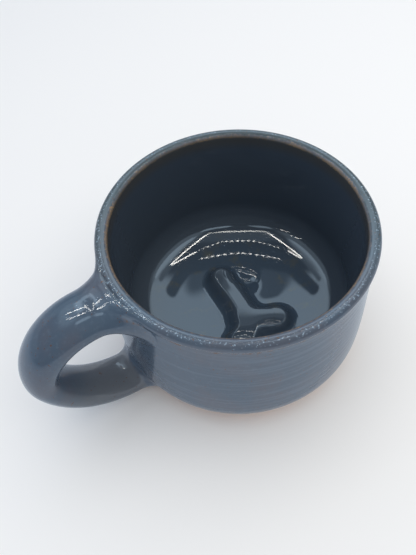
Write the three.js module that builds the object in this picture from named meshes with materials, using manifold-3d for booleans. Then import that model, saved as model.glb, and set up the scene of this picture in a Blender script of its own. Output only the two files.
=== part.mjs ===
// A wheel-thrown stoneware lather mug: a low wide cup, a pulled ear handle luted to its side,
// and two clay coils luted to its floor that work up a lather.
// Millimetres, +Z up. The origin is the centre of the flat foot and the handle points along -X.

import * as THREE from 'three';
import { mergeVertices } from 'three/addons/utils/BufferGeometryUtils.js';
import Module from 'manifold-3d';

const wasm = await Module();
wasm.setup();

// Joints: every luted piece stands this far off what it is stuck to.
const slipJoint = 0.3;

// Cup
const cupHeight = 69;
const rimDiameter = 104;
const lipThickness = 4.8;
const lipDepth = 4.4;
const lipOverhang = 0.4;
const bellyDiameter = 107;
const bellyHeight = 20;
const footDiameter = 79;
const footBevel = 1.5;
const wallThickness = 6.5;
const floorThickness = 10.5;
const floorFlatRadius = 10;
const bowlRadius = 70;
const cornerRadius = 12;

// Handle: two arms leave the wall and meet at the point furthest from the cup.
const handleReach = 32.1;
const outerDrop = 28.5;
const handleThickness = 12.4;
const outerHandleWidth = 20;
const rootDepth = 10;
const blendEdge = 0.5;

// Upper arm, leaving the wall below the lip. Its blends spread at its sides, over it and under it.
const upperRootDrop = 9.6;
const upperRootRise = THREE.MathUtils.degToRad(30);
const upperRootPull = 21.5;
const upperOuterPull = 10.7;
const upperRootWidth = 21;
const upperSideBlend = 12;
const upperOverBlend = 2;
const upperUnderBlend = 5;

// Lower arm, meeting the belly above the foot
const lowerRootHeight = 8.7;
const lowerRootDip = THREE.MathUtils.degToRad(9);
const lowerRootPull = 26.4;
const lowerOuterPull = 6.5;
const lowerRootWidth = 18.9;
const lowerSideBlend = 9;
const lowerOverBlend = 5;
const lowerUnderBlend = 0.6;

// Lather coils on the floor, as places on the plan seen from above
const coilHeight = 5;
const coilWidth = 18.6;
const coilCrown = 5.6;
const coilEdge = 0.6;
const longCoilTip = new THREE.Vector2(0, 14.6);
const longCoilBend = new THREE.Vector2(-1, 2);
const longCoilTurn = new THREE.Vector2(1, -12.5);
const longCoilTail = new THREE.Vector2(-10.5, -16.8);
const branchBend = new THREE.Vector2(2.5, -13.5);
const branchTip = new THREE.Vector2(9, -16.3);
const branchPlace = 0.62;

// Facets
const turnFacets = 60;
const curveSteps = 4;
const handleFacets = 20;
const blendSteps = 6;
const armSteps = 9;
const coilFacets = 10;
const coilSteps = 14;
const coilEndSteps = 4;
const weldDistance = 1e-4;
const searchSteps = 24;

const rimRadius = rimDiameter / 2;
const bellyRadius = bellyDiameter / 2;
const footRadius = footDiameter / 2;

// Turns a geometry into a solid that can be cut.
function solidOf(geometry) {
  const bare = geometry.clone();
  bare.deleteAttribute('normal');
  bare.deleteAttribute('uv');
  const merged = mergeVertices(bare, weldDistance);
  const corners = Array.from(merged.index.array);
  const kept = [];
  for (let i = 0; i < corners.length; i += 3) {
    const [a, b, c] = corners.slice(i, i + 3);
    const flat = a === b || b === c || c === a;
    if (!flat) kept.push(a, b, c);
  }
  const mesh = new wasm.Mesh({
    numProp: 3,
    vertProperties: new Float32Array(merged.getAttribute('position').array),
    triVerts: new Uint32Array(kept),
  });
  return new wasm.Manifold(mesh);
}

// Turns a solid back into a geometry.
function geometryOf(solid) {
  const { numProp, vertProperties, triVerts } = solid.getMesh();
  const places = [];
  for (let i = 0; i < vertProperties.length; i += numProp) {
    places.push(vertProperties[i], vertProperties[i + 1], vertProperties[i + 2]);
  }
  const geometry = new THREE.BufferGeometry();
  geometry.setAttribute('position', new THREE.Float32BufferAttribute(places, 3));
  geometry.setIndex(Array.from(triVerts));
  geometry.computeVertexNormals();
  return geometry;
}

// Spins a profile, drawn as radius and height, about the vertical axis.
function turned(profile) {
  const geometry = new THREE.LatheGeometry(profile, turnFacets);
  return solidOf(geometry.rotateX(Math.PI / 2));
}

// Skins a row of closed rings and closes both ends with fans.
function skinned(rings) {
  const sides = rings[0].length;
  const places = rings.flat();
  const startHub = places.push(centreOf(rings[0])) - 1;
  const endHub = places.push(centreOf(rings.at(-1))) - 1;
  const lastRing = (rings.length - 1) * sides;
  const triangles = [];
  for (let side = 0; side < sides; side += 1) {
    const next = (side + 1) % sides;
    triangles.push(startHub, next, side);
    triangles.push(endHub, lastRing + side, lastRing + next);
    for (let ring = 0; ring < lastRing; ring += sides) {
      triangles.push(ring + side, ring + next, ring + sides + next);
      triangles.push(ring + side, ring + sides + next, ring + sides + side);
    }
  }
  const geometry = new THREE.BufferGeometry().setFromPoints(places);
  geometry.setIndex(triangles);
  return solidOf(geometry);
}

function centreOf(points) {
  const sum = new THREE.Vector3();
  points.forEach((point) => sum.add(point));
  return sum.divideScalar(points.length);
}

// The outside of the cup from its foot to the crown of the lip, grown outwards by a margin.
function cupOutside(margin) {
  const lipHalf = lipThickness / 2;
  const lipHeight = cupHeight - lipDepth / 2;
  const neckRadius = rimRadius - lipOverhang + margin;
  const neckHeight = cupHeight - lipDepth;
  const wallPull = (neckHeight - bellyHeight) / 3;
  const heelRadius = footRadius - footBevel;
  const outside = new THREE.Path();
  outside.moveTo(0, -margin);
  outside.lineTo(heelRadius + margin, -margin);
  outside.lineTo(footRadius + margin, footBevel - margin);
  outside.absellipse(
    footRadius + margin, bellyHeight, bellyRadius - footRadius, bellyHeight - footBevel + margin,
    -Math.PI / 2, 0, false,
  );
  outside.bezierCurveTo(
    bellyRadius + margin, bellyHeight + wallPull, neckRadius, neckHeight - wallPull, neckRadius, neckHeight,
  );
  outside.absellipse(
    rimRadius - lipHalf, lipHeight, lipHalf + margin, lipDepth / 2 + margin, -Math.PI / 4, Math.PI / 2, false,
  );
  return outside;
}

// The inside of the cup, from the crown of the lip down to the middle of the bowl-shaped floor.
function cupInside() {
  const lipHalf = lipThickness / 2;
  const lipHeight = cupHeight - lipDepth / 2;
  const mouthRadius = rimRadius - lipThickness;
  const innerRadius = bellyRadius - wallThickness;
  const cornerOut = innerRadius - cornerRadius;
  const bowlTop = floorThickness + bowlRadius;
  const cornerAngle = -Math.acos((cornerOut - floorFlatRadius) / (bowlRadius - cornerRadius));
  const cornerHeight = bowlTop + (bowlRadius - cornerRadius) * Math.sin(cornerAngle);
  const wallPull = (lipHeight - cornerHeight) / 3;
  const inside = new THREE.Path();
  inside.absellipse(rimRadius - lipHalf, lipHeight, lipHalf, lipDepth / 2, Math.PI / 2, Math.PI, false);
  inside.bezierCurveTo(
    mouthRadius, lipHeight - wallPull, innerRadius, cornerHeight + wallPull, innerRadius, cornerHeight,
  );
  inside.absarc(cornerOut, cornerHeight, cornerRadius, 0, cornerAngle, true);
  inside.absarc(floorFlatRadius, bowlTop, bowlRadius, cornerAngle, -Math.PI / 2, true);
  inside.lineTo(0, floorThickness);
  return inside;
}

// How far the floor has risen at a distance from the cup's axis.
function floorRise(out) {
  return bowlRadius - Math.sqrt(bowlRadius ** 2 - Math.max(out - floorFlatRadius, 0) ** 2);
}

const cupSkin = cupOutside(0).getPoints(curveSteps);

// Radius of the cup's outside at a height.
function wallRadius(height) {
  const above = cupSkin.findIndex((point, i) => i > 1 && point.y >= height);
  if (above < 0) return rimRadius - lipThickness / 2;
  const low = cupSkin[above - 1];
  const high = cupSkin[above];
  const share = THREE.MathUtils.clamp((height - low.y) / (high.y - low.y), 0, 1);
  return THREE.MathUtils.lerp(low.x, high.x, share);
}

// A place in the plane of the handle, out from the cup's axis and up.
function earPlace(out, up) {
  return new THREE.Vector3(-out, 0, up);
}

// One arm of the handle. Its centreline starts deep in the wall and ends furthest from the cup, and
// turn says which side of it faces outwards.
function handleArm(rootHeight, rise, pull, outerPull, rootWidth, blend, turn) {
  const root = wallRadius(rootHeight);
  const outer = bellyRadius + handleReach;
  const outerHeight = cupHeight - outerDrop;
  const curve = new THREE.CubicBezierCurve3(
    earPlace(root - rootDepth * Math.cos(rise), rootHeight - rootDepth * Math.sin(rise)),
    earPlace(root + pull * Math.cos(rise), rootHeight + pull * Math.sin(rise)),
    earPlace(outer, outerHeight + turn * outerPull),
    earPlace(outer, outerHeight),
  );
  return { curve, rootWidth, blend, turn };
}

// A place on the oval skin of an arm, and its offset from the centreline.
function armSkin(arm, along, angle) {
  const across = new THREE.Vector3(0, 1, 0);
  const width = THREE.MathUtils.lerp(arm.rootWidth, outerHandleWidth, along);
  const offset = new THREE.Vector3().crossVectors(across, arm.curve.getTangent(along));
  offset.multiplyScalar((arm.turn * Math.cos(angle) * handleThickness) / 2);
  offset.addScaledVector(across, (Math.sin(angle) * width) / 2);
  return { place: arm.curve.getPoint(along).add(offset), offset };
}

// Distance from the cup's outside, and the direction straight away from it.
function fromWall(place) {
  const out = Math.hypot(place.x, place.y);
  const flat = new THREE.Vector2(out, place.z);
  let best = { distance: Infinity };
  for (let i = 1; i < cupSkin.length; i += 1) {
    const run = cupSkin[i].clone().sub(cupSkin[i - 1]);
    const share = flat.clone().sub(cupSkin[i - 1]).dot(run) / run.lengthSq();
    const foot = cupSkin[i - 1].clone().addScaledVector(run, THREE.MathUtils.clamp(share, 0, 1));
    const facing = new THREE.Vector2(run.y, -run.x).normalize();
    const gap = flat.distanceTo(foot);
    if (gap < Math.abs(best.distance)) {
      best = { distance: gap * Math.sign(flat.clone().sub(foot).dot(facing)), facing };
    }
  }
  const share = best.facing.x / out;
  const away = new THREE.Vector3(place.x * share, place.y * share, best.facing.y);
  return { distance: best.distance, away };
}

// How far along an arm its skin comes to a given distance from the wall.
function alongAt(arm, angle, distance) {
  let near = 0;
  let far = 1;
  for (let step = 0; step < searchSteps; step += 1) {
    const middle = (near + far) / 2;
    if (fromWall(armSkin(arm, middle, angle).place).distance < distance) near = middle;
    else far = middle;
  }
  return (near + far) / 2;
}

// How far a round blend has spread along the wall at a distance from it.
function blendSpread(distance, radius) {
  const share = THREE.MathUtils.clamp(1 - distance / radius, 0, 1);
  return radius * (1 - Math.sqrt(1 - share * share));
}

// A place on an arm's skin, moved along the wall by its blend and kept as far from the wall.
function blendedSkin(arm, along, angle) {
  const { place, offset } = armSkin(arm, along, angle);
  const { distance, away } = fromWall(place);
  const spread = offset.addScaledVector(away, -offset.dot(away)).normalize();
  const edge = spread.z > 0 ? arm.blend.over : arm.blend.under;
  const radius = THREE.MathUtils.lerp(arm.blend.side, edge, Math.abs(spread.z));
  place.addScaledVector(spread, blendSpread(distance - slipJoint - blendEdge, radius));
  const moved = fromWall(place);
  return place.addScaledVector(moved.away, distance - moved.distance);
}

// Rings of an arm from inside the wall outwards. They follow the wall through the blend.
function armRings(arm) {
  const angles = Array.from({ length: handleFacets }, (_, facet) => (2 * Math.PI * facet) / handleFacets);
  const blendReach = Math.max(...Object.values(arm.blend));
  const wallDistances = [-slipJoint];
  for (let step = 0; step <= blendSteps; step += 1) {
    wallDistances.push(slipJoint + blendEdge + blendReach * (step / blendSteps) ** 2);
  }
  const rings = wallDistances.map((distance) =>
    angles.map((angle) => blendedSkin(arm, alongAt(arm, angle, distance), angle)));
  const starts = angles.map((angle) => alongAt(arm, angle, wallDistances.at(-1)));
  for (let step = 1; step <= armSteps; step += 1) {
    const share = step / armSteps;
    rings.push(angles.map((angle, i) => blendedSkin(arm, THREE.MathUtils.lerp(starts[i], 1, share), angle)));
  }
  return rings;
}

function handle() {
  const upperBlend = { side: upperSideBlend, over: upperOverBlend, under: upperUnderBlend };
  const lowerBlend = { side: lowerSideBlend, over: lowerOverBlend, under: lowerUnderBlend };
  const upper = handleArm(
    cupHeight - upperRootDrop, upperRootRise, upperRootPull, upperOuterPull, upperRootWidth, upperBlend, 1,
  );
  const lower = handleArm(
    lowerRootHeight, -lowerRootDip, lowerRootPull, lowerOuterPull, lowerRootWidth, lowerBlend, -1,
  );
  const rings = [...armRings(upper), ...armRings(lower).reverse().slice(1)];
  const wall = cupOutside(slipJoint).getPoints(curveSteps);
  wall.push(new THREE.Vector2(0, wall.at(-1).y));
  return skinned(rings).subtract(turned(wall));
}

// Height of a coil's back over its edge, at a distance from its middle line: a flat crown and round sides.
function coilBack(distance, halfWidth) {
  const crown = coilCrown / 2;
  const share = THREE.MathUtils.clamp((distance - crown) / (halfWidth - crown), 0, 1);
  return (coilHeight * (1 + Math.cos(Math.PI * share))) / 2;
}

// One section across a coil: its back from side to side, then its underside on the bowl of the floor.
function coilRing(middle, tangent, beyond, margin) {
  const side = new THREE.Vector2(-tangent.y, tangent.x);
  const halfWidth = coilWidth / 2 + margin;
  const seat = floorThickness + slipJoint - margin;
  const edge = seat + coilEdge + 2 * margin;
  const reach = Math.sqrt(Math.max(halfWidth * halfWidth - beyond * beyond, 0));
  const ring = [];
  const place = (offset, up) => {
    const flat = middle.clone().addScaledVector(tangent, beyond).addScaledVector(side, offset);
    return new THREE.Vector3(flat.x, flat.y, up + floorRise(flat.length()));
  };
  const offsets = Array.from({ length: coilFacets + 1 }, (_, facet) => reach * (1 - (2 * facet) / coilFacets));
  offsets.forEach((offset) => ring.push(place(offset, edge + coilBack(Math.hypot(beyond, offset), halfWidth))));
  offsets.reverse().forEach((offset) => ring.push(place(offset, seat)));
  return ring;
}

// A coil of clay laid along a curve on the floor, with a domed end and a start that is domed or cut
// square. A margin grows it all round.
function coil(curve, margin, startSteps) {
  const halfWidth = coilWidth / 2 + margin;
  const start = curve.getPoint(0);
  const end = curve.getPoint(1);
  const startTangent = curve.getTangent(0);
  const endTangent = curve.getTangent(1);
  const endShare = (step) => halfWidth * Math.cos((Math.PI / 2) * (step / coilEndSteps));
  const rings = [];
  for (let step = 1; step < startSteps; step += 1) {
    rings.push(coilRing(start, startTangent, -endShare(step), margin));
  }
  for (let step = 0; step <= coilSteps; step += 1) {
    const along = step / coilSteps;
    rings.push(coilRing(curve.getPoint(along), curve.getTangent(along), 0, margin));
  }
  for (let step = coilEndSteps - 1; step > 0; step -= 1) {
    rings.push(coilRing(end, endTangent, endShare(step), margin));
  }
  return skinned(rings);
}

function cup() {
  const profile = cupOutside(0).getPoints(curveSteps);
  profile.push(...cupInside().getPoints(curveSteps));
  return turned(profile);
}

const longCoilCurve = new THREE.CubicBezierCurve(longCoilTip, longCoilBend, longCoilTurn, longCoilTail);
const branchCurve = new THREE.QuadraticBezierCurve(longCoilCurve.getPoint(branchPlace), branchBend, branchTip);

const longCoil = coil(longCoilCurve, 0, coilEndSteps);
const longCoilRoom = coil(longCoilCurve, slipJoint, coilEndSteps);
const branchCoil = coil(branchCurve, 0, 0).subtract(longCoilRoom);

// Glazes
const slateGlaze = new THREE.MeshStandardMaterial({ color: 0x5c6874, roughness: 0.22, metalness: 0 });
const inkGlaze = new THREE.MeshStandardMaterial({ color: 0x39444f, roughness: 0.15, metalness: 0 });

function piece(name, solid, material) {
  const mesh = new THREE.Mesh(geometryOf(solid), material);
  mesh.name = name;
  return mesh;
}

const mug = new THREE.Group();
mug.add(piece('thrown_cup', cup(), slateGlaze));
mug.add(piece('ear_handle', handle(), slateGlaze));
mug.add(piece('long_lather_coil', longCoil, inkGlaze));
mug.add(piece('branch_lather_coil', branchCoil, inkGlaze));

export default mug;
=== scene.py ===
"""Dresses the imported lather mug: a thrown cup, its ear handle and the clay coils on its floor."""

import logging
import math
from dataclasses import dataclass
from enum import Enum
from typing import Any, Iterable, Optional, Union

import bmesh
import bpy
import numpy as np
from mathutils import Matrix, Vector


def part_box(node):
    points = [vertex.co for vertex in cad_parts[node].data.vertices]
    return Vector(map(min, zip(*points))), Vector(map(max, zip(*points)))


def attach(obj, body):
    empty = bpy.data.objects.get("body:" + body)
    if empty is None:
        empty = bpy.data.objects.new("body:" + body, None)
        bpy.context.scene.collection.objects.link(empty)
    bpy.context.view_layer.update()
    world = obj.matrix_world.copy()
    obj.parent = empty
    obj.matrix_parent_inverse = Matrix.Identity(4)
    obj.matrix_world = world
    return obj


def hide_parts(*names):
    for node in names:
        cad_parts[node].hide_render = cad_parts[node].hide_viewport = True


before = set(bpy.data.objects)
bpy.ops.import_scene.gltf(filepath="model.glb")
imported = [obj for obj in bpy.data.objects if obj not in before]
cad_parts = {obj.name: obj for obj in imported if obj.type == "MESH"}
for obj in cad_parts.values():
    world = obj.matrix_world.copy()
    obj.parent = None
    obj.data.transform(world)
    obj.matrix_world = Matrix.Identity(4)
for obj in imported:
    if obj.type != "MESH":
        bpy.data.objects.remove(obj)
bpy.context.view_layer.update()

MM = 0.001
FULL_TURN = 2 * math.pi
BODY = "root"
IMAGE_SIZE = (416, 555)
SENSOR_WIDTH = 36.0
CLIP_START = 5.0

log = logging.getLogger("lather_mug")

Span = tuple[float, float]
Point = tuple[float, float]
Tint = tuple[float, float, float]
Colour = tuple[float, float, float, float]
Value = Union[float, int, tuple, "Signal"]


def rgb(red: float, green: float, blue: float) -> Colour:
    """A linear colour with full opacity."""
    return (red, green, blue, 1.0)


class Node(Enum):
    """The CAD nodes that the dressed pieces stand for."""

    CUP = "thrown_cup"
    HANDLE = "ear_handle"
    LONG_COIL = "long_lather_coil"
    BRANCH_COIL = "branch_lather_coil"


class Slot(Enum):
    """The record's material slots."""

    SLATE = "slate_glaze"
    COIL = "coil_glaze"


# Shader values and nodes


class Signal:
    """A shader socket whose arithmetic adds Math nodes."""

    def __init__(self, shader: "Shader", socket: bpy.types.NodeSocket) -> None:
        """Keeps the socket and the shader that it belongs to."""
        self.shader = shader
        self.socket = socket

    def _math(self, operation: str, first: Value, second: Value = 0.0) -> "Signal":
        """Adds one Math node.

        Args:
            operation: The Math node's operation.
            first: Its first value.
            second: Its second value.

        Returns:
            The result.
        """
        return self.shader.node("ShaderNodeMath", {"operation": operation}, {0: first, 1: second})

    def __add__(self, other: Value) -> "Signal":
        """Sum."""
        return self._math("ADD", self, other)

    def __radd__(self, other: Value) -> "Signal":
        """Reflected sum."""
        return self._math("ADD", other, self)

    def __sub__(self, other: Value) -> "Signal":
        """Difference."""
        return self._math("SUBTRACT", self, other)

    def __rsub__(self, other: Value) -> "Signal":
        """Reflected difference."""
        return self._math("SUBTRACT", other, self)

    def __mul__(self, other: Value) -> "Signal":
        """Product."""
        return self._math("MULTIPLY", self, other)

    def __rmul__(self, other: Value) -> "Signal":
        """Reflected product."""
        return self._math("MULTIPLY", other, self)

    def __truediv__(self, other: Value) -> "Signal":
        """Quotient."""
        return self._math("DIVIDE", self, other)

    def __rtruediv__(self, other: Value) -> "Signal":
        """Reflected quotient."""
        return self._math("DIVIDE", other, self)

    def root(self) -> "Signal":
        """Square root."""
        return self._math("SQRT", self)

    def angle(self, other: Value) -> "Signal":
        """Angle of this value over another, as atan2 gives it."""
        return self._math("ARCTAN2", self, other)

    def size(self) -> "Signal":
        """Value without its sign."""
        return self._math("ABSOLUTE", self)

    def wave(self) -> "Signal":
        """Cosine."""
        return self._math("COSINE", self)

    def clamp(self) -> "Signal":
        """Value kept between 0 and 1."""
        return self.shader.node("ShaderNodeClamp", None, {"Value": self})

    def ramp(self, low: Value, high: Value) -> "Signal":
        """Rises smoothly from 0 at low to 1 at high."""
        sockets = {"Value": self, "From Min": low, "From Max": high}
        return self.shader.node("ShaderNodeMapRange", {"interpolation_type": "SMOOTHSTEP"}, sockets)

    def fall(self, low: Value, high: Value) -> "Signal":
        """Falls smoothly from 1 at low to 0 at high."""
        return 1 - self.ramp(low, high)

    def band(self, rise: Span, fall: Span) -> "Signal":
        """Rises over one span of values and falls over a higher one."""
        return self.ramp(*rise) * self.fall(*fall)

    def between(self, low: Value, high: Value) -> "Signal":
        """Goes from one value to another as this one goes from 0 to 1."""
        return low + self * (high - low)

    def sway(self, reach: float) -> "Signal":
        """Swing of a noise about its middle, which is a half."""
        return (self - 0.5) * reach


@dataclass(frozen=True)
class Blotch:
    """One grade of soft noise: its size in millimetres, its octaves and how strong the finer ones are."""

    size: float
    detail: float = 2.0
    roughness: float = 0.5


class Shader:
    """The node tree of a material or a world, written as expressions."""

    def __init__(self, owner: Union[bpy.types.Material, bpy.types.World]) -> None:
        """Empties the owner's node tree.

        Args:
            owner: The material or world.
        """
        owner.use_nodes = True
        self.owner = owner
        self.tree = owner.node_tree
        self.tree.nodes.clear()

    def node(
        self,
        kind: str,
        settings: Optional[dict[str, Any]] = None,
        sockets: Optional[dict[Union[str, int], Value]] = None,
        output: Union[str, int] = 0,
    ) -> Signal:
        """Adds a node of any type.

        Args:
            kind: The node's type.
            settings: Its settings, which are set first.
            sockets: Values or links of its input sockets.
            output: The output socket to return.

        Returns:
            The output socket.
        """
        node = self.tree.nodes.new(kind)
        for name, value in (settings or {}).items():
            setattr(node, name, value)
        for key, value in (sockets or {}).items():
            if isinstance(value, Signal):
                self.tree.links.new(value.socket, node.inputs[key])
            else:
                node.inputs[key].default_value = value
        return Signal(self, node.outputs[output] if node.outputs else None)

    def blend(self, factor: Value, first: Value, second: Value) -> Signal:
        """Mixes two colours.

        Args:
            factor: Share of the second colour.
            first: Colour at 0.
            second: Colour at 1.

        Returns:
            The mixed colour.
        """
        return self.node("ShaderNodeMix", {"data_type": "RGBA"}, {0: factor, 6: first, 7: second}, 2)

    def colour(self, channels: Iterable[Value]) -> Signal:
        """Joins red, green and blue into a colour."""
        return self.node("ShaderNodeCombineColor", None, dict(zip(("Red", "Green", "Blue"), channels)))

    def place(self) -> Signal:
        """Position in the part's frame, in metres."""
        return self.node("ShaderNodeTexCoord", output="Object")

    def split(self, vector: Signal) -> tuple[Signal, ...]:
        """The x, y and z of a vector."""
        parts = self.node("ShaderNodeSeparateXYZ", sockets={0: vector}).socket.node.outputs
        return tuple(Signal(self, part) for part in parts)

    def axes(self, vector: Signal) -> tuple[Signal, ...]:
        """The x, y and z in millimetres of a vector in metres."""
        return tuple(part * (1 / MM) for part in self.split(vector))

    def noise(self, vector: Signal, blotch: Blotch) -> Signal:
        """Soft noise.

        Args:
            vector: Position.
            blotch: The grade of noise.

        Returns:
            A value about 0.5.
        """
        sockets = {
            "Vector": vector,
            "Scale": 1 / (blotch.size * MM),
            "Detail": blotch.detail,
            "Roughness": blotch.roughness,
        }
        return self.node("ShaderNodeTexNoise", None, sockets)

    def stretch(self, vector: Signal, scale: tuple[float, float, float]) -> Signal:
        """Scales a vector by a factor for each axis."""
        return self.node("ShaderNodeVectorMath", {"operation": "MULTIPLY"}, {0: vector, 1: scale})

    def bump(self, height: Signal, depth: float) -> Signal:
        """Turns a height from 0 to 1 into a normal, with the depth in millimetres that 1 stands for."""
        return self.node("ShaderNodeBump", None, {"Height": height, "Distance": depth * MM, "Strength": 1.0})

    def finish(self, surface: Signal) -> Union[bpy.types.Material, bpy.types.World]:
        """Joins a surface to the output.

        Args:
            surface: The shader to show.

        Returns:
            The material or world.
        """
        in_world = isinstance(self.owner, bpy.types.World)
        kind = "ShaderNodeOutputWorld" if in_world else "ShaderNodeOutputMaterial"
        self.node(kind, None, {"Surface": surface})
        return self.owner


# Finishes


@dataclass
class GlazeMap:
    """Places on the mug and blotches in its glaze, as values of one shader. Millimetres."""

    shader: Shader
    cup: "ThrownCup"
    clouds: Blotch = Blotch(18.0, 3.0)
    mottles: Blotch = Blotch(1.6, 3.0, 0.6)
    grains: Blotch = Blotch(0.5)
    cloud_wander: float = 1.0
    mottle_wander: float = 1.2
    lip_rise: Span = (-1.6, -0.4)
    lip_reach: Span = (2.8, 3.4)
    lining_start: float = 0.95
    lining_fade: float = 0.4
    lining_wander: float = 0.4
    lining_rise: Span = (8.6, 9.0)
    handle_start: Span = (0.6, 2.5)

    def __post_init__(self) -> None:
        """Adds the nodes."""
        s = self.shader
        cup = self.cup
        self.place = s.place()
        self.x, self.y, self.z = s.axes(self.place)
        self.out = (self.x * self.x + self.y * self.y).root()
        self.cloud = s.noise(self.place, self.clouds)
        self.mottle = s.noise(self.place, self.mottles)
        self.grain = s.noise(self.place, self.grains)
        self.wander = self.cloud.sway(self.cloud_wander) + self.mottle.sway(self.mottle_wander)

        middle, half = cup.lip()
        self.lip_out = self.out - middle[0]
        self.lip_up = self.z - middle[1]
        self.turn = (self.lip_up / half[1]).angle(self.lip_out / half[0])
        self.on_lip = self.lip_up.ramp(*self.lip_rise) * self.lip_out.size().fall(*self.lip_reach)

        edge = cup.rim_radius - cup.lip_thickness * self.lining_start
        within = (self.out + self.mottle * self.lining_wander).fall(edge, edge + self.lining_fade)
        self.inside = within * self.z.ramp(*self.lining_rise)
        self.on_cup = self.out.fall(*(cup.belly_radius + gap for gap in self.handle_start))


@dataclass(frozen=True)
class Clay:
    """Bare stoneware where the foot was wiped clean, a little less far up under the handle. Millimetres."""

    warm: Colour = rgb(0.74, 0.37, 0.15)
    dark: Colour = rgb(0.54, 0.26, 0.10)
    dark_band: Span = (0.35, 0.7)
    roughness: float = 0.82
    edge: Span = (5.8, 6.1)
    cloud_wander: float = 1.2
    grain_wander: float = 0.2
    handle_start: Span = (48.6, 50.6)
    handle_lift: float = 2.6

    def bare(self, at: GlazeMap) -> Signal:
        """Where the clay is bare.

        Args:
            at: Places and blotches.

        Returns:
            1 on bare clay and 0 on glaze.
        """
        wiped = at.z + at.cloud.sway(self.cloud_wander) + at.grain.sway(self.grain_wander)
        wiped = wiped + at.out.ramp(*self.handle_start) * self.handle_lift
        return wiped.fall(*self.edge)

    def colour(self, s: Shader, at: GlazeMap) -> Signal:
        """Mottled colour of the clay."""
        return s.blend(at.mottle.ramp(*self.dark_band), self.warm, self.dark)


@dataclass(frozen=True)
class SlateWall:
    """The outside: slate clouded with dusk, streaked and mottled with pale blue, and a lighter grey low on
    the handle, which is painted light bounced up from the floor.

    A band is the span over which a colour comes in, and a share is the most of it that does.
    """

    slate: Colour = rgb(0.070, 0.103, 0.148)
    dusk: Colour = rgb(0.090, 0.104, 0.138)
    dusk_band: Span = (0.40, 0.66)
    pale: Colour = rgb(0.138, 0.188, 0.250)
    streaks: Blotch = Blotch(1.5, 3.0, 0.55)
    streak_pull: tuple[float, float, float] = (0.04, 0.04, 1.0)
    streak_band: Span = (0.46, 0.70)
    streak_share: float = 0.38
    mottle_band: Span = (0.50, 0.78)
    mottle_share: float = 0.25
    # Painted light: a lighter grey laid low on the handle stands in for light bounced up from the pale
    # floor.
    painted_bounce_grey: Colour = rgb(0.150, 0.158, 0.172)
    painted_bounce_heights: Span = (18.0, 40.0)
    painted_bounce_share: float = 0.75

    def colour(self, s: Shader, at: GlazeMap) -> Signal:
        """Colour of the outside.

        Args:
            s: The shader.
            at: Places and blotches.

        Returns:
            The colour.
        """
        streak = s.noise(s.stretch(at.place, self.streak_pull), self.streaks).ramp(*self.streak_band)
        colour = s.blend(at.cloud.ramp(*self.dusk_band), self.slate, self.dusk)
        colour = s.blend(streak * at.on_cup * self.streak_share, colour, self.pale)
        colour = s.blend(at.mottle.ramp(*self.mottle_band) * self.mottle_share, colour, self.pale)
        # Painted light on the lower handle, in place of bounce from the floor.
        bounce_lit_low_handle = (1 - at.on_cup) * at.z.fall(*self.painted_bounce_heights)
        return s.blend(bounce_lit_low_handle * self.painted_bounce_share, colour, self.painted_bounce_grey)


@dataclass(frozen=True)
class DarkLining:
    """The inside: ink blue, the outside's slate glaze coloured darker inside the cup as painted shade in the
    hollow, stained olive on the floor and umber under the lip. Millimetres.
    """

    # Painted shade: the slate glaze darkened for the inside of the cup, on the walls and, through the floor
    # colour, on the floor too.
    ink_with_painted_shade: Colour = rgb(0.050, 0.067, 0.091)
    floor: Colour = rgb(0.043, 0.067, 0.102)
    floor_rise: Span = (1.0, 9.0)
    olive: Colour = rgb(0.088, 0.090, 0.072)
    stains: Blotch = Blotch(7.0, 4.0, 0.6)
    stain_band: Span = (0.52, 0.72)
    stain_share: float = 0.6
    umber: Colour = rgb(0.066, 0.062, 0.054)
    umber_drop: Span = (9.0, 3.0)
    umber_share: float = 0.7

    def colour(self, s: Shader, at: GlazeMap) -> Signal:
        """Colour of the inside.

        Args:
            s: The shader.
            at: Places and blotches.

        Returns:
            The colour.
        """
        stain = s.noise(at.place, self.stains).ramp(*self.stain_band)
        floor = s.blend(stain * self.stain_share, self.floor, self.olive)
        low = at.z.fall(*(at.cup.floor_thickness + rise for rise in self.floor_rise))
        high = at.z.ramp(*(at.cup.height - drop for drop in self.umber_drop))
        return s.blend(high * self.umber_share, s.blend(low, self.ink_with_painted_shade, floor), self.umber)


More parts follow.
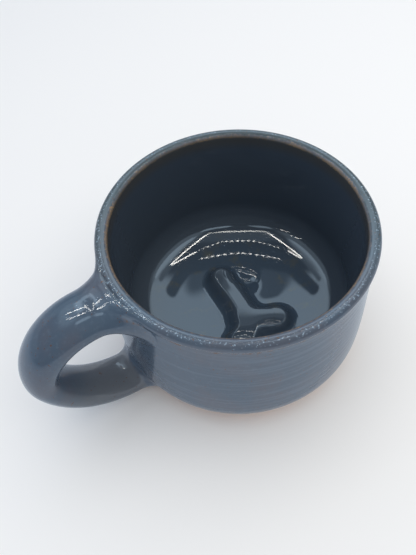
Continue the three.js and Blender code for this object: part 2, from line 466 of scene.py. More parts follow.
@dataclass(frozen=True)
class LipBreak:
    """Where the glaze runs thin on the lip: a grey crest, pale flecks painted on as glints (painted
    highlight), a tan inner edge and rust below. The grey is the thin glaze's colour, but it is laid strongly
    on the side away from the camera and faintly on the near side, which is painted shade and light by side.

    Angles go round the lip's section from its outer side, in radians. Sizes are in millimetres.
    """

    grey: Colour = rgb(0.062, 0.080, 0.083)
    crest_rise: Span = (0.2, 0.8)
    crest_fall: Span = (2.1, 2.5)
    # The grey's share grows away from the camera: painted shade on the far lip, painted light on the near
    # lip.
    far_shade_way: Point = (0.5, 0.8)
    far_shade_band: Span = (-40.0, 10.0)
    grey_shares: Span = (0.1, 0.75)
    # Painted highlight: pale blue glints laid as colour along the crest.
    painted_glint: Colour = rgb(0.360, 0.480, 0.600)
    flecks: Blotch = Blotch(0.8, 2.0, 0.6)
    fleck_band: Span = (0.56, 0.68)
    ridge_wander: float = 0.5
    ridge_rise: Span = (0.7, 1.1)
    ridge_fall: Span = (1.5, 1.9)
    painted_glint_share: float = 0.7
    tan: Colour = rgb(0.330, 0.215, 0.105)
    tan_wander: float = 0.9
    tan_rise: Span = (2.2, 2.5)
    tan_fall: Span = (2.85, 3.05)
    patch_band: Span = (0.42, 0.60)
    patch_shares: Span = (0.45, 1.0)
    fleck_shares: Span = (0.40, 1.0)
    rust: Colour = rgb(0.125, 0.055, 0.024)
    mottle_sag: float = 1.4
    cloud_sag: float = 1.6
    rust_rise: Span = (-3.0, -2.2)
    rust_fall: Span = (-1.3, -0.5)
    rust_reach: Span = (0.6, 1.2)
    flakes: Blotch = Blotch(3.4, 4.0, 0.65)
    flake_band: Span = (0.45, 0.60)
    rust_share: float = 0.85
    specks: Blotch = Blotch(1.1, 1.0)
    speck_band: Span = (0.715, 0.75)
    speck_share: float = 0.7

    def crest(self, at: GlazeMap) -> Signal:
        """Where the crest of the lip is."""
        return (at.turn + at.wander).band(self.crest_rise, self.crest_fall) * at.on_lip

    def thinned(self, s: Shader, at: GlazeMap, crest: Signal, colour: Signal) -> Signal:
        """Lays the grey crest with its painted shade and light by side, its pale flecks of painted highlight
        and the tan inner edge over the lip.

        Args:
            s: The shader.
            at: Places and blotches.
            crest: Where the crest of the lip is.
            colour: Colour of the glaze.

        Returns:
            The colour.
        """
        # Painted shade and light by side: the grey comes in strongly away from the camera and faintly
        # towards it.
        side = (at.x * self.far_shade_way[0] + at.y * self.far_shade_way[1]).ramp(*self.far_shade_band)
        colour = s.blend(crest * side.between(*self.grey_shares), colour, self.grey)
        fleck = s.noise(at.place, self.flecks).ramp(*self.fleck_band)
        ridge = (at.turn + at.wander * self.ridge_wander).band(self.ridge_rise, self.ridge_fall)
        # Painted highlight: pale blue glints on the crest.
        colour = s.blend(ridge * at.on_lip * fleck * self.painted_glint_share, colour, self.painted_glint)
        inner = (at.turn + at.mottle.sway(self.tan_wander)).band(self.tan_rise, self.tan_fall)
        patch = at.cloud.ramp(*self.patch_band).between(*self.patch_shares)
        return s.blend(inner * at.on_lip * patch * fleck.between(*self.fleck_shares), colour, self.tan)

    def rusted(self, s: Shader, at: GlazeMap, colour: Signal) -> Signal:
        """Lays rust below the lip's outer edge, and in specks on the outside.

        Args:
            s: The shader.
            at: Places and blotches.
            colour: Colour of the glaze.

        Returns:
            The colour.
        """
        sag = at.lip_up + at.mottle.sway(self.mottle_sag) + at.cloud.sway(self.cloud_sag)
        below = sag.band(self.rust_rise, self.rust_fall) * at.lip_out.ramp(*self.rust_reach) * at.on_cup
        flake = s.noise(at.place, self.flakes).ramp(*self.flake_band)
        colour = s.blend(below * flake * self.rust_share, colour, self.rust)
        speck = s.noise(at.place, self.specks).ramp(*self.speck_band) * (1 - at.inside)
        return s.blend(speck * self.speck_share, colour, self.rust)


@dataclass(frozen=True)
class SlateGlaze:
    """Glossy slate-blue glaze over the whole mug but its foot. Sizes in millimetres."""

    name: str
    wall: SlateWall = SlateWall()
    lining: DarkLining = DarkLining()
    lip: LipBreak = LipBreak()
    clay: Clay = Clay()
    gloss: float = 1.55
    inner_roughness: float = 0.045
    outer_roughness: float = 0.12
    handle_roughness: float = 0.09
    mottle_roughness: float = 0.08
    crest_roughness: float = 0.05
    mottle_relief: Span = (0.05, 2.15)
    grain_relief: Span = (0.02, 2.32)
    lining_relief: float = 0.4
    relief_depth: float = 0.012

    def roughness(self, at: GlazeMap, crest: Signal, bare: Signal) -> Signal:
        """Roughness of the surface.

        Args:
            at: Places and blotches.
            crest: Where the crest of the lip is.
            bare: Where the clay is bare.

        Returns:
            The roughness.
        """
        rough = at.on_cup.between(self.handle_roughness, self.outer_roughness)
        rough = rough + at.mottle.sway(self.mottle_roughness) * at.on_cup + crest * self.crest_roughness
        rough = at.inside.between(rough, self.inner_roughness)
        return bare.between(rough, self.clay.roughness)

    def relief(self, at: GlazeMap) -> Signal:
        """Height of the fine unevenness, which is strongest on the lip.

        Args:
            at: Places and blotches.

        Returns:
            The height.
        """
        mottle = at.mottle * at.on_lip.between(*self.mottle_relief)
        grain = at.grain * at.on_lip.between(*self.grain_relief)
        return (mottle + grain) * at.inside.between(1.0, self.lining_relief)

    def build(self, cup: "ThrownCup") -> bpy.types.Material:
        """Makes the material.

        Args:
            cup: The cup whose rim, lining and foot place the changes of colour.

        Returns:
            The material.
        """
        s = Shader(bpy.data.materials.new(self.name))
        at = GlazeMap(s, cup)
        crest = self.lip.crest(at)
        bare = self.clay.bare(at)
        colour = s.blend(at.inside, self.wall.colour(s, at), self.lining.colour(s, at))
        colour = self.lip.thinned(s, at, crest, colour)
        colour = self.lip.rusted(s, at, colour)
        sockets = {
            "Base Color": s.blend(bare, colour, self.clay.colour(s, at)),
            "Roughness": self.roughness(at, crest, bare),
            "IOR": self.gloss,
            "Normal": s.bump(self.relief(at), self.relief_depth),
        }
        return s.finish(s.node("ShaderNodeBsdfPrincipled", None, sockets))


# Profiles and meshes


def line(start: Point, end: Point, steps: int) -> np.ndarray:
    """Points on a straight stretch of a profile, without its start.

    Args:
        start: First point.
        end: Last point.
        steps: Number of points.

    Returns:
        The points.
    """
    share = np.linspace(0, 1, steps + 1)[1:, None]
    return np.array(start) * (1 - share) + np.array(end) * share


def arc(centre: Point, radii: Point, start: float, end: float, steps: int) -> np.ndarray:
    """Points on an oval stretch of a profile, without its start.

    Args:
        centre: Centre of the oval.
        radii: Half widths of the oval.
        start: First angle in degrees.
        end: Last angle in degrees.
        steps: Number of points.

    Returns:
        The points.
    """
    angle = np.radians(np.linspace(start, end, steps + 1)[1:])
    return np.array(centre) + np.stack([radii[0] * np.cos(angle), radii[1] * np.sin(angle)], 1)


def bezier(points: np.ndarray, share: np.ndarray) -> np.ndarray:
    """Places on a Bezier curve of any degree.

    Args:
        points: Control points.
        share: Shares along the curve.

    Returns:
        One place for each share.
    """
    rows = [np.array(p, float)[None] for p in points]
    t = np.asarray(share, float).reshape(-1, 1)
    while len(rows) > 1:
        rows = [a * (1 - t) + b * t for a, b in zip(rows, rows[1:])]
    return rows[0]


def bend(points: list[Point], steps: int) -> np.ndarray:
    """Points on a Bezier stretch of a profile, without its start."""
    return bezier(np.array(points), np.linspace(0, 1, steps + 1)[1:])


def bezier_heading(points: np.ndarray, share: np.ndarray) -> np.ndarray:
    """Unit tangents of a Bezier curve, one for each share along it."""
    heading = bezier(np.diff(np.array(points, float), axis=0), share)
    return heading / np.linalg.norm(heading, axis=1, keepdims=True)


def smooth(value: np.ndarray, low: float, high: float) -> np.ndarray:
    """Rises smoothly from 0 at low to 1 at high."""
    share = np.clip((value - low) / (high - low), 0, 1)
    return share * share * (3 - 2 * share)


def skin_faces(rings: int, sides: int) -> list[tuple[int, ...]]:
    """Faces of a skin over closed rings, with a hub vertex after them at each end.

    Args:
        rings: Number of rings.
        sides: Points in each ring.

    Returns:
        The faces.
    """
    faces: list[tuple[int, ...]] = []
    first_hub = rings * sides
    last = (rings - 1) * sides
    for side in range(sides):
        after = (side + 1) % sides
        faces.append((first_hub, after, side))
        faces.append((first_hub + 1, last + side, last + after))
        for ring in range(0, last, sides):
            faces.append((ring + side, ring + after, ring + sides + after, ring + sides + side))
    return faces


def solid(name: str, places: np.ndarray, faces: list[tuple[int, ...]], crease: float) -> bpy.types.Object:
    """Makes a closed, smooth mesh whose faces look outwards.

    Args:
        name: Name of the piece.
        places: Vertices in millimetres.
        faces: Faces as vertex numbers.
        crease: Edges bent further than this many degrees stay sharp.

    Returns:
        The object, at the frame's origin.
    """
    mesh = bpy.data.meshes.new(name)
    mesh.from_pydata((places * MM).tolist(), [], faces)
    mesh.validate()
    mesh.calc_loop_triangles()
    corners = np.array([t.vertices[:] for t in mesh.loop_triangles])
    a, b, c = (places[corners[:, i]] for i in range(3))
    if np.einsum("ij,ij->i", a, np.cross(b, c)).sum() < 0:
        mesh.flip_normals()
    mesh.shade_smooth()
    mesh.set_sharp_from_angle(angle=math.radians(crease))
    piece = bpy.data.objects.new(name, mesh)
    bpy.context.scene.collection.objects.link(piece)
    return piece


def squares(name: str, middles: Iterable[Point], span: float) -> bpy.types.Mesh:
    """Makes flat squares for the stage.

    Args:
        name: Name of the mesh.
        middles: Their middles on the plan, in millimetres.
        span: Length of their sides in millimetres.

    Returns:
        The mesh.
    """
    corners = np.array([(-1, -1), (1, -1), (1, 1), (-1, 1)]) * span / 2
    flat = (np.array(middles)[:, None] + corners[None]).reshape(-1, 2)
    places = np.column_stack([flat, np.zeros(len(flat))]) * MM
    mesh = bpy.data.meshes.new(name)
    mesh.from_pydata(places.tolist(), [], np.arange(len(flat)).reshape(-1, 4).tolist())
    return mesh


def dress(piece: bpy.types.Object, material: bpy.types.Material, node: Node) -> bpy.types.Object:
    """Gives a piece its finish and puts it in the place of its CAD node.

    Args:
        piece: The finished mesh.
        material: Its material.
        node: The CAD node that it stands for.

    Returns:
        The piece.
    """
    piece.data.materials.clear()
    piece.data.materials.append(material)
    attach(piece, BODY)
    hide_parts(node.value)
    log.info("%s: %d faces", piece.name, len(piece.data.polygons))
    return piece


# The pieces of the mug


@dataclass(frozen=True)
class Dimple:
    """A soft hollow that a thumb left, or a swelling where its depth is negative. Millimetres."""

    place: Point
    radius: float
    depth: float

    def sink(self, flat: np.ndarray) -> np.ndarray:
        """How deep the hollow is at places on the plan."""
        gap = ((flat - np.array(self.place)) ** 2).sum(-1)
        return self.depth * np.exp(-gap / (2 * self.radius**2))


@dataclass(frozen=True)
class ThrowingRings:
    """The spiral rings that fingers leave on the wheel. Millimetres, and radians for the phases."""

    depth: float = 0.06
    pitch: float = 3.6
    fine_share: float = 0.3
    fine_phase: float = 1.3
    swell_share: float = 0.4
    swell_rate: float = 0.23
    swell_phase: float = 0.7
    start: Span = (6.0, 14.0)
    stop_drop: Span = (7.0, 4.5)
    inner_start: Span = (24.0, 36.0)
    inner_share: float = 0.8

    def depths(self, height: np.ndarray, turn: np.ndarray) -> np.ndarray:
        """Depth of the rings where they are at their full strength.

        Args:
            height: Heights on the wall.
            turn: Angles round the axis.

        Returns:
            Depths.
        """
        spiral = self.pitch * turn / FULL_TURN
        wide = np.sin(FULL_TURN * (height + spiral) / self.pitch)
        fine = np.sin(2 * FULL_TURN * (height + 2 * spiral) / self.pitch + self.fine_phase)
        swell = 1 - self.swell_share * (1 - np.sin(height * self.swell_rate + self.swell_phase))
        both = wide + self.fine_share * (fine - wide)
        return self.depth * (1 + swell * both) / 2

    def strength(self, height: np.ndarray, outer: np.ndarray, top: float) -> np.ndarray:
        """How strong the rings are along the profile.

        Args:
            height: Heights of the profile.
            outer: 1 on the outside and 0 on the inside.
            top: Height of the cup.

        Returns:
            Shares from 0 to 1.
        """
        wall = smooth(height, *self.start) * (1 - smooth(height, *(top - drop for drop in self.stop_drop)))
        lined = (1 - outer) * smooth(height, *self.inner_start) * self.inner_share
        return wall * (outer + lined)


@dataclass(frozen=True)
class CupSteps:
    """How finely each stretch of the cup's profile is cut, and the cup round its axis."""

    foot: int = 30
    bevel: int = 4
    belly: int = 24
    wall: int = 60
    neck: int = 8
    outer_lip: int = 14
    inner_lip: int = 12
    lining: int = 40
    corner: int = 24
    bowl: int = 40
    floor: int = 10
    around: int = 256


@dataclass
class ThrownCup:
    """The cup, thrown in one piece: foot, belly, wall, rolled lip and floor. Millimetres."""

    height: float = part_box("thrown_cup")[1].z / MM
    rim_radius: float = 52.25
    lip_thickness: float = 4.8
    lip_depth: float = 4.4
    lip_overhang: float = 0.65
    belly_radius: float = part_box("thrown_cup")[1].y / MM
    belly_height: float = 20.0
    foot_radius: float = 39.5
    foot_bevel: float = 1.5
    wall_thickness: float = 6.5
    floor_thickness: float = 10.5
    floor_flat: float = 10.0
    bowl_radius: float = 70.0
    corner_radius: float = 12.0
    rings: ThrowingRings = ThrowingRings()
    rim_dip: float = 0.25
    dip_reach: float = 12.0
    dip_waves: int = 3
    dip_wave_share: float = 0.3
    thumb_hollows: tuple[Dimple, ...] = (
        Dimple((6.5, 12.5), 3.0, 1.35),
        Dimple((10.5, 8.0), 3.0, 1.25),
        Dimple((10.2, -5.0), 5.0, 0.36),
        Dimple((15.5, -6.5), 5.5, 0.34),
    )
    crease: float = 42.0
    steps: CupSteps = CupSteps()

    def lip(self) -> tuple[Point, Point]:
        """Middle of the lip's oval section, as radius and height, and its half widths."""
        half = (self.lip_thickness / 2, self.lip_depth / 2)
        return (self.rim_radius - half[0], self.height - half[1]), half

    def outside(self) -> np.ndarray:
        """Profile of the outside, from the middle of the foot to the crown of the lip.

        Returns:
            Points as radius and height.
        """
        lip, lip_half = self.lip()
        neck = (self.rim_radius - self.lip_overhang, self.height - self.lip_depth)
        heel = self.foot_radius - self.foot_bevel
        belly = (self.belly_radius - self.foot_radius, self.belly_height - self.foot_bevel)
        pull = (neck[1] - self.belly_height) / 3
        wall = [
            (self.belly_radius, self.belly_height),
            (self.belly_radius, self.belly_height + pull),
            (neck[0], neck[1] - pull),
            neck,
        ]
        pull = (lip[1] - neck[1]) / 2
        roll = [neck, (neck[0], neck[1] + pull), (self.rim_radius, lip[1] - pull), (self.rim_radius, lip[1])]
        return np.concatenate([
            line((0.0, 0.0), (heel, 0.0), self.steps.foot),
            line((heel, 0.0), (self.foot_radius, self.foot_bevel), self.steps.bevel),
            arc((self.foot_radius, self.belly_height), belly, -90, 0, self.steps.belly),
            bend(wall, self.steps.wall),
            bend(roll, self.steps.neck),
            arc(lip, lip_half, 0, 90, self.steps.outer_lip),
        ])

    def corner(self) -> tuple[Point, float]:
        """Place of the round corner inside.

        Returns:
            Its middle, as radius and height, and the slope in degrees where the bowl meets it.
        """
        out = self.belly_radius - self.wall_thickness - self.corner_radius
        run = out - self.floor_flat
        drop = math.sqrt((self.bowl_radius - self.corner_radius) ** 2 - run**2)
        slope = math.degrees(math.atan2(run, drop))
        return (out, self.floor_thickness + self.bowl_radius - drop), slope

    def inside(self) -> np.ndarray:
        """Profile of the inside, from the crown of the lip to the middle of the floor.

        Returns:
            Points as radius and height.
        """
        lip, lip_half = self.lip()
        mouth = (self.rim_radius - self.lip_thickness, lip[1])
        radius = self.belly_radius - self.wall_thickness
        corner, slope = self.corner()
        corner_half = (self.corner_radius, self.corner_radius)
        pull = (mouth[1] - corner[1]) / 3
        wall = [mouth, (mouth[0], mouth[1] - pull), (radius, corner[1] + pull), (radius, corner[1])]
        bowl = (self.floor_flat, self.floor_thickness + self.bowl_radius)
        bowl_half = (self.bowl_radius, self.bowl_radius)
        return np.concatenate([
            arc(lip, lip_half, 90, 180, self.steps.inner_lip),
            bend(wall, self.steps.lining),
            arc(corner, corner_half, 0, slope - 90, self.steps.corner),
            arc(bowl, bowl_half, slope - 90, -90, self.steps.bowl),
            line((self.floor_flat, self.floor_thickness), (0.0, self.floor_thickness), self.steps.floor),
        ])

    def floor_rise(self, flat: np.ndarray) -> np.ndarray:
        """How far the bowl of the floor has risen at places on the plan."""
        run = np.maximum(np.linalg.norm(flat, axis=-1) - self.floor_flat, 0)
        return self.bowl_radius - np.sqrt(self.bowl_radius**2 - run**2)

    def hollows(self, flat: np.ndarray) -> np.ndarray:
        """Depth of the thumb hollows in the floor at places on the plan."""
        return sum(hollow.sink(flat) for hollow in self.thumb_hollows)

    def floor_height(self, flat: np.ndarray) -> np.ndarray:
        """Height of the bowl-shaped floor with its hollows at places on the plan."""
        return self.floor_thickness + self.floor_rise(flat) - self.hollows(flat)

    def dips(self, height: np.ndarray, turn: np.ndarray) -> np.ndarray:
        """How far the uneven rim dips.

        Args:
            height: Heights on the cup.
            turn: Angles round the axis.

        Returns:
            Depths.
        """
        top = smooth(height, self.height - self.dip_reach, self.height)
        wave = 1 - self.dip_wave_share * (1 - np.sin(self.dip_waves * turn))
        return self.rim_dip * top * (1 + np.cos(turn)) / 2 * wave

    def build(self, material: bpy.types.Material) -> bpy.types.Object:
        """Turns the profile and dresses it.

        Args:
            material: The glaze.

        Returns:
            The cup.
        """
        outside = self.outside()
        rims = np.concatenate([outside, self.inside()])[:-1]
        heading = np.gradient(rims, axis=0)
        facing = np.stack([heading[:, 1], -heading[:, 0]], 1)
        facing /= np.linalg.norm(facing, axis=1, keepdims=True)
        turn = FULL_TURN * np.arange(self.steps.around) / self.steps.around
        around = np.repeat(turn[None], len(rims), 0)
        out, up = (np.repeat(rims[:, i : i + 1], len(turn), 1) for i in range(2))
        outer = np.zeros(len(rims))
        outer[: len(outside)] = 1
        strength = self.rings.strength(rims[:, 1], outer, self.height)
        depth = strength[:, None] * self.rings.depths(up, around)
        out = out - facing[:, :1] * depth
        up = up - facing[:, 1:] * depth
        up = up - self.dips(up, around)
        flat = np.stack([out * np.cos(around), out * np.sin(around)], 2)
        up = up - (1 - outer)[:, None] * self.hollows(flat)
        places = np.concatenate([flat, up[..., None]], 2).reshape(-1, 3)
        hubs = np.array([[0, 0, 0], [0, 0, self.floor_height(np.zeros(2))]])
        faces = skin_faces(len(rims), len(turn))
        piece = solid("cup", np.concatenate([places, hubs]), faces, self.crease)
        return dress(piece, material, Node.CUP)


@dataclass
class HandleArm:
    """One arm of the handle, from inside the wall to the point furthest from the cup."""

    curve: np.ndarray
    root_width: float
    side_blend: float
    over_blend: float
    under_blend: float
    turn: int


@dataclass
class EarHandle:
    """The pulled handle, smeared onto the wall at both ends. Millimetres."""

    cup: ThrownCup
    reach: float = 32.1
    outer_drop: float = 28.5
    thickness: float = 12.4
    outer_width: float = 18.8
    root_depth: float = 10.0
    upper_drop: float = 8.8
    upper_rise: float = 35.0
    upper_pull: float = 21.5
    upper_outer_pull: float = 10.7
    upper_width: float = 21.0
    upper_blends: tuple[float, float, float] = (12.0, 6.5, 5.0)
    lower_height: float = 7.5
    lower_dip: float = 13.5
    lower_pull: float = 28.4
    lower_outer_pull: float = 5.0
    lower_width: float = 19.5
    lower_blends: tuple[float, float, float] = (7.0, 7.5, 0.6)
    blend_start: float = 0.02
    blend_ease: float = 0.15
    buried_rings: tuple[float, ...] = (-1.2, -0.4)
    crease: float = 60.0
    sides: int = 80
    blend_steps: int = 22
    arm_steps: int = 40
    halvings: int = 26

    def wall_radius(self, height: float) -> float:
        """Radius of the cup's outside.

        Args:
            height: Height on the wall.

        Returns:
            The radius.
        """
        outside = self.cup.outside()
        wall = outside[outside[:, 1] > 0]
        return float(np.interp(height, wall[:, 1], wall[:, 0]))

    def arm(self, height: float, rise: float, pull: float, outer_pull: float, turn: int) -> np.ndarray:
        """Control points of an arm's centreline, as distance out from the axis and height.

        Args:
            height: Height of the root on the wall.
            rise: Angle at which the arm leaves the wall, in degrees.
            pull: Length of the handle of the curve at the wall.
            outer_pull: Length of the handle of the curve at its outer end.
            turn: 1 for the upper arm and -1 for the lower.

        Returns:
            Four control points.
        """
        root = np.array([self.wall_radius(height), height])
        heading = np.array([math.cos(math.radians(rise)), math.sin(math.radians(rise))])
        outer = np.array([self.cup.belly_radius + self.reach, self.cup.height - self.outer_drop])
        return np.array([
            root - self.root_depth * heading,
            root + pull * heading,
            outer + np.array([0, turn * outer_pull]),
            outer,
        ])

    def from_wall(self, places: np.ndarray) -> tuple[np.ndarray, np.ndarray]:
        """Distance of places from the cup's outside and the direction away from it.

        Args:
            places: Places in space.

        Returns:
            Signed distances and unit vectors.
        """
        wall = self.cup.outside()
        run = np.diff(wall, axis=0)
        out = np.hypot(places[:, 0], places[:, 1])
        flat = np.stack([out, places[:, 2]], 1)
        gap = flat[:, None] - wall[None, :-1]
        share = np.clip((gap * run).sum(2) / (run * run).sum(1), 0, 1)
        rest = gap - share[..., None] * run
        nearest = np.linalg.norm(rest, axis=2).argmin(1)
        step = rest[np.arange(len(places)), nearest]
        facing = np.stack([run[:, 1], -run[:, 0]], 1) / np.linalg.norm(run, axis=1, keepdims=True)
        facing = facing[nearest]
        distance = np.linalg.norm(step, axis=1) * np.sign((step * facing).sum(1))
        level = places[:, :2] / out[:, None] * facing[:, :1]
        return distance, np.column_stack([level, facing[:, 1]])

    def arm_skin(
        self, arm: HandleArm, share: np.ndarray, angle: np.ndarray
    ) -> tuple[np.ndarray, np.ndarray]:
        """Places on an arm's oval skin.

        Args:
            arm: The arm.
            share: Shares along it.
            angle: Angles round it.

        Returns:
            The places, and their offsets from the centreline.
        """
        centre = bezier(arm.curve, share)
        heading = bezier_heading(arm.curve, share)
        width = arm.root_width + (self.outer_width - arm.root_width) * share
        lift = arm.turn * np.cos(angle) * self.thickness / 2
        side = np.sin(angle) * width / 2
        offset = np.stack([heading[:, 1] * lift, side, heading[:, 0] * lift], 1)
        place = np.stack([-centre[:, 0], np.zeros(len(share)), centre[:, 1]], 1)
        return place + offset, offset

    def share_at(self, arm: HandleArm, angle: np.ndarray, distance: float) -> np.ndarray:
        """How far along an arm its skin comes to a distance from the wall.

        Args:
            arm: The arm.
            angle: Angles round it.
            distance: Distance from the wall.

        Returns:
            One share for each angle.
        """
        near = np.zeros(len(angle))
        far = np.ones(len(angle))
        for _ in range(self.halvings):
            middle = (near + far) / 2
            inside = self.from_wall(self.arm_skin(arm, middle, angle)[0])[0] < distance
            near = np.where(inside, middle, near)
            far = np.where(inside, far, middle)
        return (near + far) / 2

    def blended(self, arm: HandleArm, share: np.ndarray, angle: np.ndarray) -> np.ndarray:
        """Places on an arm's skin, spread along the wall by a round blend.

        Args:
            arm: The arm.
            share: Shares along it.
            angle: Angles round it.

        Returns:
            The places.
        """
        place, offset = self.arm_skin(arm, share, angle)
        distance, away = self.from_wall(place)
        spread = offset - away * (offset * away).sum(1, keepdims=True)
        spread /= np.linalg.norm(spread, axis=1, keepdims=True)
        steep = np.abs(spread[:, 2])
        steep = (1 + self.blend_ease) * steep * steep / (steep + self.blend_ease)
        edge = np.where(spread[:, 2] > 0, arm.over_blend, arm.under_blend)
        radius = arm.side_blend + (edge - arm.side_blend) * steep
        left = np.clip(1 - (distance - self.blend_start) / radius, 0, 1)
        place = place + spread * (radius * (1 - np.sqrt(1 - left * left)))[:, None]
        moved, away = self.from_wall(place)
        return place + away * (distance - moved)[:, None]

    def rings(self, arm: HandleArm) -> np.ndarray:
        """Rings of an arm from inside the wall outwards.

        Args:
            arm: The arm.

        Returns:
            Rings by points by coordinates.
        """
        angle = FULL_TURN * np.arange(self.sides) / self.sides
        reach = max(arm.side_blend, arm.over_blend, arm.under_blend)
        distances = [*self.buried_rings, *(reach * np.linspace(0, 1, self.blend_steps + 1) ** 2)]
        shares = [self.share_at(arm, angle, distance) for distance in distances]
        start = shares[-1]
        shares += [start + (1 - start) * i / self.arm_steps for i in range(1, self.arm_steps + 1)]
        return np.array([self.blended(arm, share, angle) for share in shares])

    def build(self, material: bpy.types.Material) -> bpy.types.Object:
        """Skins both arms and dresses the handle.

        Args:
            material: The glaze.

        Returns:
            The handle.
        """
        upper_height = self.cup.height - self.upper_drop
        upper_curve = self.arm(upper_height, self.upper_rise, self.upper_pull, self.upper_outer_pull, 1)
        lower_curve = self.arm(
            self.lower_height, -self.lower_dip, self.lower_pull, self.lower_outer_pull, -1
        )
        upper = self.rings(HandleArm(upper_curve, self.upper_width, *self.upper_blends, 1))
        lower = self.rings(HandleArm(lower_curve, self.lower_width, *self.lower_blends, -1))
        rings = np.concatenate([upper, lower[::-1][1:]])
        hubs = np.array([rings[0].mean(0), rings[-1].mean(0)])
        places = np.concatenate([rings.reshape(-1, 3), hubs])
        piece = solid("handle", places, skin_faces(len(rings), self.sides), self.crease)
        return dress(piece, material, Node.HANDLE)


@dataclass
class LatherCoils:
    """The two clay coils on the floor, which run into each other under the glaze. Millimetres."""

    cup: ThrownCup
    height: float = 5.6
    half_width: float = 9.3
    plateau: float = 2.2
    foot_run: float = 0.8
    flare: float = 1.35
    welding: float = 2.5
    seat: float = 0.4
    least_thickness: float = 0.05
    level_band: Span = (-10.0, 5.0)
    tuck: float = 0.04
    tuck_band: Span = (-0.4, 0.6)
    spare: float = 3.0
    pinches: tuple[Dimple, ...] = (
        Dimple((1.5, 16.5), 5.0, -0.20),
        Dimple((1.0, -24.0), 4.0, 0.30),
        Dimple((-13.4, -22.2), 4.5, 0.28),
    )
    ledges: tuple[Dimple, ...] = (
        Dimple((0.0, 14.0), 4.0, 1.0),
        Dimple((3.8, -18.5), 6.0, 2.8),
        Dimple((-10.3, -18.5), 5.0, 1.8),
    )
    long_curve: tuple[Point, ...] = ((0.0, 14.6), (-1.0, 2.0), (1.0, -12.5), (-10.5, -16.8))
    branch_bend: Point = (2.5, -13.5)
    branch_tip: Point = (9.0, -16.3)
    branch_place: float = 0.62
    weld_gap: float = 0.0001
    crease: float = 50.0
    spine_steps: int = 240
    steps: int = 72
    end_steps: int = 28
    across: int = 34

    def branch_curve(self) -> np.ndarray:
        """Control points of the branch, from the long coil's middle line."""
        start = bezier(np.array(self.long_curve), np.array([self.branch_place]))[0]
        return np.array([start, self.branch_bend, self.branch_tip])

    def distance(self, flat: np.ndarray, curve: np.ndarray) -> np.ndarray:
        """Distance of places on the plan from a coil's middle line."""
        spine = bezier(curve, np.linspace(0, 1, self.spine_steps))
        return np.linalg.norm(flat[:, None] - spine[None], axis=2).min(1)

    def lift(self, flat: np.ndarray) -> np.ndarray:
        """Height of both coils together over the floor, and a little below it beyond their feet.

        Args:
            flat: Places on the plan.

        Returns:
            Heights.
        """
        long = self.distance(flat, np.array(self.long_curve))
        branch = self.distance(flat, self.branch_curve())
        mix = np.clip(0.5 + (branch - long) / (2 * self.welding), 0, 1)
        both = branch + (long - branch) * mix - self.welding * mix * (1 - mix)
        both = both - sum(ledge.sink(flat) for ledge in self.ledges)
        edge = self.half_width + self.foot_run
        share = (1 - smooth(both, self.plateau, edge)) ** self.flare
        foot = smooth(both, self.half_width, edge)
        pinched = sum(pinch.sink(flat) for pinch in self.pinches)
        level = 1 - smooth(flat[:, 1], *self.level_band)
        height = self.height * (1 - pinched) - level * self.cup.floor_rise(flat)
        return share * height - self.seat * foot / 2

    def plan(self, curve: np.ndarray) -> np.ndarray:
        """A grid over a coil's footprint, from its middle line to its edge all the way round.

        Args:
            curve: The coil's middle line.

        Returns:
            Places by steps out from the middle line.
        """
        share = np.linspace(0, 1, self.steps)
        spine = bezier(curve, share)
        heading = bezier_heading(curve, share)
        side = np.stack([-heading[:, 1], heading[:, 0]], 1)
        swing = np.linspace(0, math.pi, self.end_steps)[1:-1, None]
        end = side[-1] * np.cos(swing) + heading[-1] * np.sin(swing)
        start = -side[0] * np.cos(swing) - heading[0] * np.sin(swing)
        end_root = spine[-1:].repeat(len(end), 0)
        start_root = spine[:1].repeat(len(start), 0)
        roots = np.concatenate([spine, end_root, spine[::-1], start_root])
        ways = np.concatenate([side, end, -side[::-1], start])
        reach = (self.half_width + self.spare) * np.linspace(0, 1, self.across + 1)
        return roots[:, None] + ways[:, None] * reach[None, :, None]

    def coil(self, name: str, curve: np.ndarray, sink_under: Optional[np.ndarray]) -> bpy.types.Object:
        """Makes one coil as a closed mesh.

        Args:
            name: Name of the piece.
            curve: The coil's middle line.
            sink_under: Middle line of a coil that this one ducks under, if any.

        Returns:
            The coil.
        """
        grid = self.plan(curve)
        around, across = grid.shape[:2]
        flat = grid.reshape(-1, 2)
        floor = self.cup.floor_height(flat)
        top = floor + self.lift(flat)
        if sink_under is not None:
            beyond = self.distance(flat, sink_under) - self.half_width - self.spare
            top = top - self.tuck * (1 - smooth(beyond, *self.tuck_band))
        under = floor - self.seat
        upper = np.column_stack([flat, np.maximum(top, under + self.least_thickness)])
        lower = np.column_stack([flat, under])
        count = len(flat)
        faces: list[tuple[int, ...]] = []
        for i in range(around):
            here = i * across
            there = (i + 1) % around * across
            for k in range(across - 1):
                quad = (here + k, here + k + 1, there + k + 1, there + k)
                faces.append(quad)
                faces.append(tuple(count + v for v in reversed(quad)))
            rim = here + across - 1
            next_rim = there + across - 1
            faces.append((rim, count + rim, count + next_rim, next_rim))
        return self.welded(solid(name, np.concatenate([upper, lower]), faces, self.crease))

    def welded(self, piece: bpy.types.Object) -> bpy.types.Object:
        """Joins the doubled vertices on a coil's middle line.

        Args:
            piece: The coil.

        Returns:
            The same coil.
        """
        work = bmesh.new()
        work.from_mesh(piece.data)
        bmesh.ops.remove_doubles(work, verts=work.verts, dist=self.weld_gap * MM)
        bmesh.ops.recalc_face_normals(work, faces=work.faces)
        work.to_mesh(piece.data)
        work.free()
        piece.data.shade_smooth()
        piece.data.set_sharp_from_angle(angle=math.radians(self.crease))
        return piece

    def build(self, material: bpy.types.Material) -> None:
        """Makes and dresses both coils.

        Args:
            material: The glaze.
        """
        long = np.array(self.long_curve)
        branch = self.branch_curve()
        dress(self.coil("long_coil", long, None), material, Node.LONG_COIL)
        dress(self.coil("branch_coil", branch, long), material, Node.BRANCH_COIL)


# The stage


